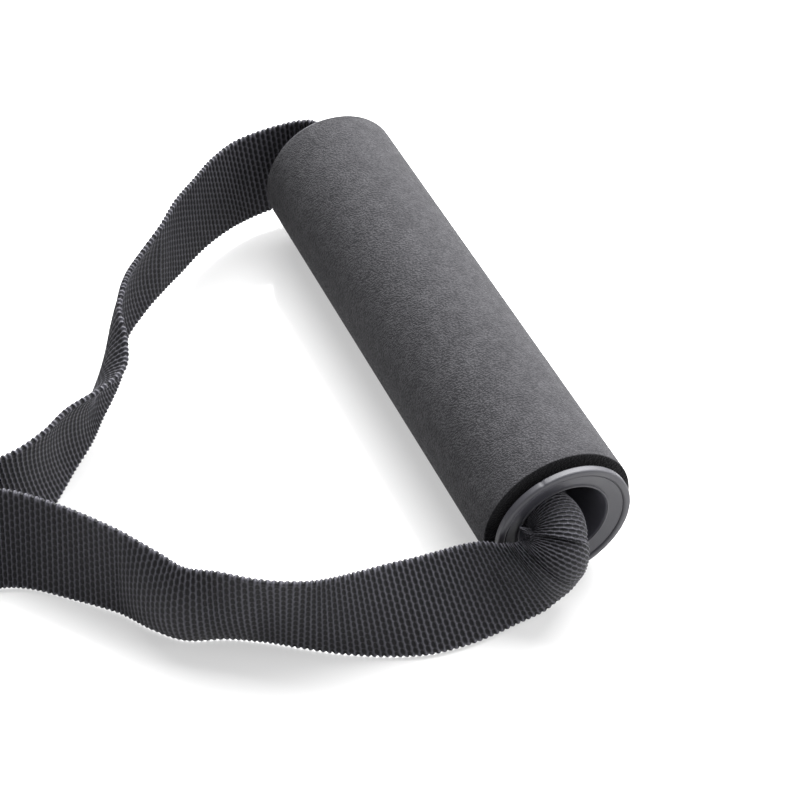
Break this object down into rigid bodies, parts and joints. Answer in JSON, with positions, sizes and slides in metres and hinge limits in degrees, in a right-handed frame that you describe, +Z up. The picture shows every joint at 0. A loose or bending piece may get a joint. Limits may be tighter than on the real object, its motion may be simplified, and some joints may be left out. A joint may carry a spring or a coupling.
{
  "type": "exercise band hand grip",
  "caption": "Foam-covered tubular hand grip on a sewn webbing loop with a welded D-ring, the handle end of an exercise resistance band.",
  "frame": {"origin": "on the surface the part lies on, under the middle of its footprint", "axes": "+X along the grip towards the end whose cap stands off the foam, +Z up, and the webbing loop lies towards -Y with the ring at its far end"},
  "size_m": [0.1714, 0.227, 0.038],
  "materials": {
    "foam": "closed-cell foam with a fine suede-like skin, dark grey",
    "tube_plastic": "plain extruded tube, black",
    "cap_plastic": "satin moulded plastic, black",
    "webbing": "ribbed woven webbing with beaded selvedges, black",
    "thread": "bonded sewing thread, black",
    "ring_steel": "nickel plated steel wire"
  },
  "bodies": {
    "strap": {"webbing_strap": "webbing", "box_stitch": "thread"},
    "grip": {"foam_grip": "foam", "core_tube": "tube_plastic", "near_end_cap": "cap_plastic", "far_end_cap": "cap_plastic"},
    "ring": {"d_ring": "ring_steel"}
  },
  "joints": [
    {"name": "grip_spin", "type": "hinge", "parent": "strap", "child": "grip", "pos_m": [-0.00091, 0.09449, 0.01901], "axis": [1, 0, 0], "continuous": true},
    {"name": "ring_swing", "type": "hinge", "parent": "strap", "child": "ring", "pos_m": [0.00759, -0.08951, 0.00401], "axis": [-1, 0, 0], "range_deg": [-140, 140]}
  ]
}
